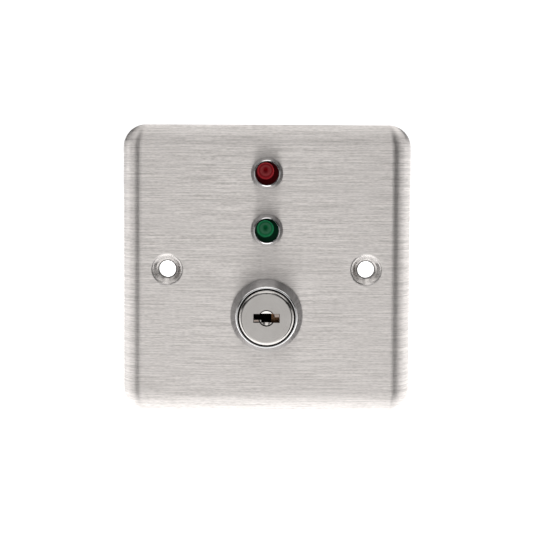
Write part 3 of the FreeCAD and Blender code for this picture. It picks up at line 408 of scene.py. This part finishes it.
def moulded(name, color, rough=0.5):
    """Moulded plastic with a fine spark-eroded grain."""
    s = Shader(name)
    grain = s.grain(3.0)
    cloud = s.grain(0.15, detail=2.0)
    light = tuple(1.18 * c + 0.004 for c in color)
    s.put("Base Color", s.blend(s.span(cloud, 0.0, 1.0), rgb(*color), rgb(*light)))
    s.put("Roughness", s.span(grain, rough - 0.06, rough + 0.06))
    s.bump(grain, 0.25, 0.00003)
    return s.material


# By the record's material slots.
MATERIALS = {
    "plate_steel": brushed_plate(),
    "bright_chrome": plated("bright_chrome", CHROME, 0.12, shading=bevel_shade(BEZEL_FRONT)),
    "satin_nickel": spun_nickel(),
    "wafer_brass": wafer_brass(),
    "spring_steel": plated("spring_steel", (0.50, 0.50, 0.49), 0.25),
    "plated_steel": plated("plated_steel", (0.62, 0.62, 0.60), 0.24, grain=0.1),
    "contact_metal": plated("contact_metal", (0.78, 0.75, 0.68), 0.28, grain=0.1),
    "tinned_copper": plated("tinned_copper", (0.66, 0.65, 0.63), 0.32, grain=0.15),
    # Each lens's broad ring and rim colours are painted highlights, its deep colour painted shade.
    "red_lens": lens_plastic(
        "red_lens",
        eye=(0.17, 0.001, 0.004),
        dome=(0.19, 0.008, 0.013),
        broad_ring_highlight=(0.27, 0.042, 0.046),
        rim=(0.34, 0.024, 0.030),
        deep=(0.055, 0.0005, 0.002),
    ),
    "green_lens": lens_plastic(
        "green_lens",
        eye=(0.001, 0.085, 0.025),
        dome=(0.011, 0.125, 0.050),
        broad_ring_highlight=(0.045, 0.155, 0.085),
        rim=(0.014, 0.195, 0.075),
        deep=(0.002, 0.028, 0.013),
    ),
    "red_epoxy": epoxy("red_epoxy", (0.60, 0.03, 0.03), (0.50, 0.02, 0.02)),
    "green_epoxy": epoxy("green_epoxy", (0.05, 0.45, 0.12), (0.03, 0.35, 0.10)),
    "black_plastic": moulded("black_nylon", (0.018, 0.018, 0.019)),
    "rotor_plastic": moulded("natural_acetal", (0.62, 0.60, 0.54), 0.4),
    "resistor_paint": moulded("resistor_lacquer", (0.50, 0.37, 0.22), 0.35),
}
# The barrel shares its slot with the indicators' housings, but its bevel stands elsewhere.
BARREL_CHROME = plated("barrel_chrome", CHROME, 0.12, shading=barrel_shading)

SLOTS = {part["node"]: part["material_slot"] for part in frame["record"]["subparts"]}
for name, obj in frame["nodes"].items():
    obj.data.materials.clear()
    obj.data.materials.append(BARREL_CHROME if name == "lock_barrel" else MATERIALS[SLOTS[name]])

# ---------------------------------------------------------------- studio

scene = bpy.context.scene
scene.view_settings.view_transform = "Standard"
scene.view_settings.look = "None"
scene.view_settings.exposure = 0.0

# The light tent's levels, as multiples of TENT_LEVEL, its brightness straight behind the camera. SIDES goes
# by the angle in degrees round from there, to the right as the camera sees it. HEIGHTS goes by the sine of
# the angle above the horizon.
TENT_LEVEL = 0.70
SIDES = [
    (-180, 1.50),
    (-148, 1.10),
    (-140, 0.15),
    (-116, 0.15),
    (-107, 1.05),
    (-97, 1.30),
    (-80, 1.15),
    (-54, 0.95),
    (-47, 0.24),
    (-28, 0.20),
    (-24, 1.00),
    (19, 1.00),
    (23, 0.08),
    (45, 0.08),
    (51, 0.55),
    (64, 0.90),
    (78, 1.05),
    (92, 1.25),
    (100, 1.55),
    (180, 1.50),
]
HEIGHTS = [
    (-1.0, 5.20),
    (-0.9, 4.60),
    (-0.75, 2.70),
    (-0.5, 1.75),
    (-0.3, 1.45),
    (-0.15, 1.15),
    (0.0, 1.00),
    (0.13, 1.00),
    (0.18, 0.08),
    (0.47, 0.08),
    (0.56, 0.90),
    (0.67, 1.50),
    (0.80, 2.00),
    (0.93, 1.95),
    (1.0, 1.00),
]
WHITE = (1, 1, 1)
WARM = (1, 0.99, 0.976)
BACKDROP_LEVEL = 1.1


def ramp(tree, value, stops, tint):
    """The level along a value from 0 to 1, given (place, level) stops."""
    node = tree.node("ShaderNodeValToRGB")
    for index, (place, level) in enumerate(stops):
        stop = node.color_ramp.elements[index] if index < 2 else node.color_ramp.elements.new(place)
        stop.position = place
        stop.color = scaled(tint, level)
    tree.feed(value, node.inputs["Fac"])
    return node.outputs["Color"]


def background(tree, color, strength):
    node = tree.node("ShaderNodeBackground")
    tree.feed(color, node.inputs["Color"])
    node.inputs["Strength"].default_value = strength
    return node.outputs["Background"]


def make_world():
    """A light tent round the plate, and white behind it."""
    world = bpy.data.worlds.new("studio")
    scene.world = world
    world.use_nodes = True
    tree = NodeTree(world.node_tree)
    coords = tree.node("ShaderNodeTexCoord")
    parts = tree.node("ShaderNodeSeparateXYZ")
    tree.link(coords.outputs["Generated"], parts.inputs["Vector"])
    x, y, z = (parts.outputs[axis] for axis in "XYZ")

    turn = tree.maths("DIVIDE", tree.maths("ARCTAN2", x, tree.times(y, -1.0)), 2 * math.pi)
    side_stops = [(0.5 + angle / 360, level) for angle, level in SIDES]
    sides = ramp(tree, tree.maths("ADD", turn, 0.5), side_stops, WHITE)
    # Near the plane x = 0, and far above or below the horizon, only the height counts.
    aside = tree.times(tree.rise(tree.absolute(x), 0.05, 0.15), tree.fall(tree.absolute(z), 0.80, 0.97))
    sides = tree.blend(aside, rgb(*WHITE), sides)

    elevation = tree.maths("DIVIDE", tree.maths("ADD", z, 1.0), 2.0)
    height_stops = [((sine + 1) / 2, level) for sine, level in HEIGHTS]
    heights = ramp(tree, elevation, height_stops, WARM)
    shade = tree.blend(1.0, sides, heights, mode="MULTIPLY")

    output = tree.node("ShaderNodeOutputWorld")
    ray = tree.node("ShaderNodeLightPath")
    choose = tree.node("ShaderNodeMixShader")
    tree.link(ray.outputs["Is Camera Ray"], choose.inputs["Fac"])
    tree.link(background(tree, shade, TENT_LEVEL), choose.inputs[1])
    tree.link(background(tree, rgb(*WHITE), BACKDROP_LEVEL), choose.inputs[2])
    tree.link(choose.outputs["Shader"], output.inputs["Surface"])


def add_overhead_light():
    """A soft light above the camera's side of the plate."""
    place = Vector((0, -0.10, 0.80))
    data = bpy.data.lights.new("overhead", "AREA")
    data.shape = "RECTANGLE"
    data.size, data.size_y = 0.7, 0.3
    data.energy = 0.3
    light = bpy.data.objects.new("overhead", data)
    scene.collection.objects.link(light)
    light.location = place
    light.rotation_euler = (-place).to_track_quat("-Z", "Y").to_euler()
    light.visible_camera = False


def add_floor():
    """Pale floor below and behind the plate, bright enough to light the plate's lower edge."""
    drop = cad_box[0].z - 0.10
    side, front, back = 8.0, -0.12, 12.0
    corners = [(-side, front, drop), (side, front, drop), (side, back, drop), (-side, back, drop)]
    mesh = bpy.data.meshes.new("floor")
    mesh.from_pydata(corners, [], [(0, 1, 2, 3)])
    floor = bpy.data.objects.new("floor", mesh)
    scene.collection.objects.link(floor)
    s = Shader("pale_floor")
    cloud = s.grain(0.002, detail=2.0)
    s.put("Base Color", s.blend(s.span(cloud, 0.0, 1.0), rgb(0.90, 0.90, 0.90), rgb(0.93, 0.93, 0.93)))
    s.put("Roughness", 0.8)
    s.put("Emission Color", rgb(1, 1, 1))
    s.put("Emission Strength", 1.3)
    floor.data.materials.append(s.material)


def add_camera():
    """The viewpoint: a little above the plate's centre, nearly square on, held slightly off level."""
    distance, rise = 0.250, 0.0266
    pitch_down, roll = 1.58, 0.25
    image_width, metres_per_pixel = 533, 0.000307
    data = bpy.data.cameras.new("camera")
    data.sensor_width = 36.0
    data.lens = data.sensor_width * distance / (image_width * metres_per_pixel)
    data.shift_x = -0.0011
    data.shift_y = -0.1170
    data.clip_start, data.clip_end = 0.01, 50
    camera = bpy.data.objects.new("camera", data)
    scene.collection.objects.link(camera)
    camera.location = (0, -distance, rise)
    camera.rotation_euler = (math.radians(90 - pitch_down), math.radians(-roll), 0)
    scene.camera = camera


make_world()
add_floor()
add_overhead_light()
add_camera()
